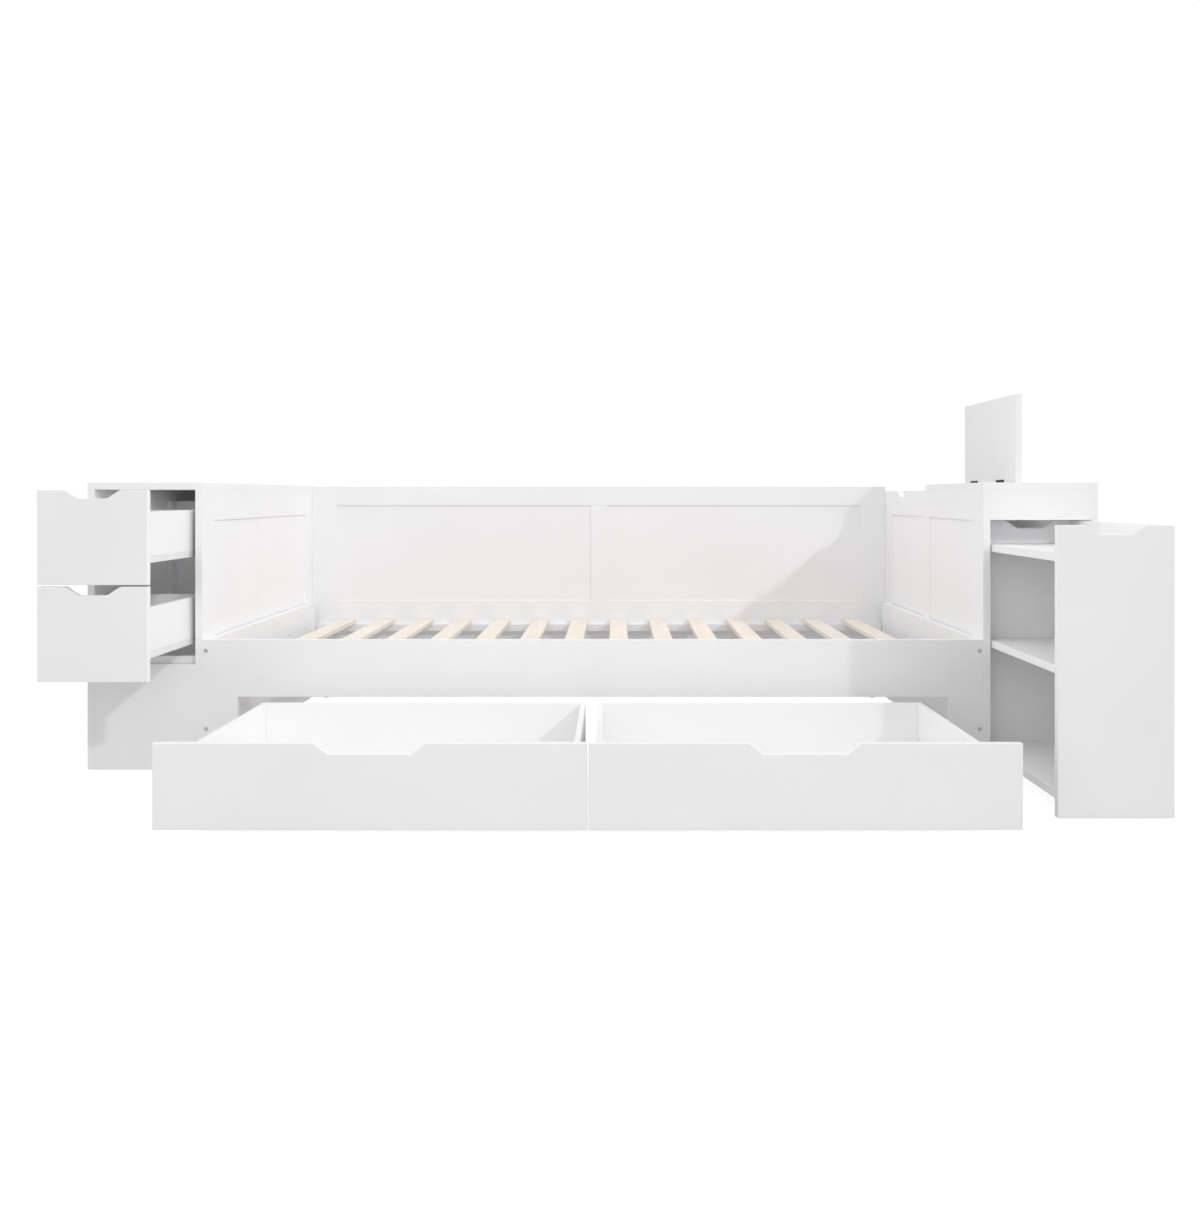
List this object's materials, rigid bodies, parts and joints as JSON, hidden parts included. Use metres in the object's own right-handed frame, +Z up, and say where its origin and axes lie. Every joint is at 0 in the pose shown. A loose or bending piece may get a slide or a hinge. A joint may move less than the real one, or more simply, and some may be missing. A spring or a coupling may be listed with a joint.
{
  "type": "platform bed with storage drawers",
  "caption": "Daybed with slatted platform, drawer cabinet, pull-out shelf cabinet with lidded bin, panelled back and rolling under-bed drawers.",
  "frame": {"origin": "on the floor, at the centre of the footprint taken up with every drawer out", "axes": "+X to the viewer's right along the bed, +Y from the drawer fronts to the back panel, +Z up"},
  "size_m": [2.532, 1.568, 0.9934],
  "materials": {
    "white_board": "satin white lacquer on MDF",
    "white_liner": "matt white paper foil on thin board",
    "pine": "planed, unfinished",
    "white_steel": "white epoxy coat on rolled steel",
    "black_steel": "black powder coat",
    "zinc": "bright zinc plate",
    "white_nylon": "moulded",
    "grey_plastic": "moulded"
  },
  "bodies": {
    "bed_frame": {"left_outer_side": "white_board", "left_cabinet_top": "white_board", "left_lower_panel": "white_board", "left_drawer_deck": "white_board", "left_partition": "white_board", "left_partition_cleats": "white_board", "left_guard_frame": "white_board", "left_guard_panels": "white_board", "right_guard_frame": "white_board", "right_guard_panels": "white_board", "right_outer_side": "white_board", "right_cabinet_top": "white_board", "right_apron": "white_board", "right_partition": "white_board", "bin_floor": "white_board", "cabinet_backs": "white_board", "front_rail": "white_board", "front_legs": "white_board", "side_boards": "white_board", "back_frame": "white_board", "back_panels": "white_board", "slats": "pine", "slat_ledgers": "white_board", "cabinet_slide_channels": "white_steel", "cabinet_hinge_leaves": "black_steel", "frame_screws": "zinc", "foot_glides": "white_nylon"},
    "lid": {"bin_lid": "white_board", "lid_hinge_leaves": "black_steel"},
    "upper_drawer": {"upper_drawer_front": "white_board", "upper_drawer_sides": "white_board", "upper_drawer_back": "white_board", "upper_drawer_bottom": "white_liner", "upper_drawer_slides": "white_steel"},
    "lower_drawer": {"lower_drawer_front": "white_board", "lower_drawer_sides": "white_board", "lower_drawer_back": "white_board", "lower_drawer_bottom": "white_liner", "lower_drawer_slides": "white_steel"},
    "left_bed_drawer": {"left_bed_drawer_front": "white_board", "left_bed_drawer_sides": "white_board", "left_bed_drawer_back": "white_board", "left_bed_drawer_bottom": "white_liner", "left_bed_drawer_forks": "zinc"},
    "right_bed_drawer": {"right_bed_drawer_front": "white_board", "right_bed_drawer_sides": "white_board", "right_bed_drawer_back": "white_board", "right_bed_drawer_bottom": "white_liner", "right_bed_drawer_forks": "zinc"},
    "shelf_unit": {"shelf_unit_front": "white_board", "shelf_unit_back": "white_board", "shelf_unit_side": "white_board", "shelf_unit_shelves": "white_board", "shelf_unit_forks": "zinc"},
    "left_bed_drawer_front_wheels": {"left_bed_drawer_front_wheels": "grey_plastic"},
    "left_bed_drawer_rear_wheels": {"left_bed_drawer_rear_wheels": "grey_plastic"},
    "right_bed_drawer_front_wheels": {"right_bed_drawer_front_wheels": "grey_plastic"},
    "right_bed_drawer_rear_wheels": {"right_bed_drawer_rear_wheels": "grey_plastic"},
    "shelf_unit_front_wheels": {"shelf_unit_front_wheels": "grey_plastic"},
    "shelf_unit_rear_wheels": {"shelf_unit_rear_wheels": "grey_plastic"}
  },
  "joints": [
    {"name": "lid_hinge", "type": "hinge", "parent": "bed_frame", "child": "lid", "pos_m": [1.245, 0.533, 0.7024], "axis": [0, 1, 0], "range_deg": [-90, 0]},
    {"name": "upper_drawer_slide", "type": "slide", "parent": "bed_frame", "child": "upper_drawer", "axis": [0, 1, 0], "range_m": [0, 0.285]},
    {"name": "lower_drawer_slide", "type": "slide", "parent": "bed_frame", "child": "lower_drawer", "axis": [0, 1, 0], "range_m": [0, 0.285]},
    {"name": "left_bed_drawer_roll", "type": "slide", "parent": "bed_frame", "child": "left_bed_drawer", "axis": [0, 1, 0], "range_m": [0, 0.524]},
    {"name": "right_bed_drawer_roll", "type": "slide", "parent": "bed_frame", "child": "right_bed_drawer", "axis": [0, 1, 0], "range_m": [0, 0.524]},
    {"name": "shelf_unit_roll", "type": "slide", "parent": "bed_frame", "child": "shelf_unit", "axis": [0, 1, 0], "range_m": [0, 0.426]},
    {"name": "left_bed_drawer_front_wheel_spin", "type": "hinge", "parent": "left_bed_drawer", "child": "left_bed_drawer_front_wheels", "pos_m": [-0.411, -0.716, 0.016], "axis": [1, 0, 0], "range_deg": [-1878, 0]},
    {"name": "left_bed_drawer_rear_wheel_spin", "type": "hinge", "parent": "left_bed_drawer", "child": "left_bed_drawer_rear_wheels", "pos_m": [-0.411, -0.374, 0.016], "axis": [1, 0, 0], "range_deg": [-1878, 0]},
    {"name": "right_bed_drawer_front_wheel_spin", "type": "hinge", "parent": "right_bed_drawer", "child": "right_bed_drawer_front_wheels", "pos_m": [0.411, -0.716, 0.016], "axis": [1, 0, 0], "range_deg": [-1878, 0]},
    {"name": "right_bed_drawer_rear_wheel_spin", "type": "hinge", "parent": "right_bed_drawer", "child": "right_bed_drawer_rear_wheels", "pos_m": [0.411, -0.374, 0.016], "axis": [1, 0, 0], "range_deg": [-1878, 0]},
    {"name": "shelf_unit_front_wheel_spin", "type": "hinge", "parent": "shelf_unit", "child": "shelf_unit_front_wheels", "pos_m": [1.122, -0.628, 0.016], "axis": [1, 0, 0], "range_deg": [-1527, 0]},
    {"name": "shelf_unit_rear_wheel_spin", "type": "hinge", "parent": "shelf_unit", "child": "shelf_unit_rear_wheels", "pos_m": [1.122, -0.218, 0.016], "axis": [1, 0, 0], "range_deg": [-1527, 0]}
  ],
  "couplings": [
    {"joint": "left_bed_drawer_front_wheel_spin", "follows": "left_bed_drawer_roll", "rad_per_m": -62.5},
    {"joint": "left_bed_drawer_rear_wheel_spin", "follows": "left_bed_drawer_roll", "rad_per_m": -62.5},
    {"joint": "right_bed_drawer_front_wheel_spin", "follows": "right_bed_drawer_roll", "rad_per_m": -62.5},
    {"joint": "right_bed_drawer_rear_wheel_spin", "follows": "right_bed_drawer_roll", "rad_per_m": -62.5},
    {"joint": "shelf_unit_front_wheel_spin", "follows": "shelf_unit_roll", "rad_per_m": -62.5},
    {"joint": "shelf_unit_rear_wheel_spin", "follows": "shelf_unit_roll", "rad_per_m": -62.5}
  ]
}
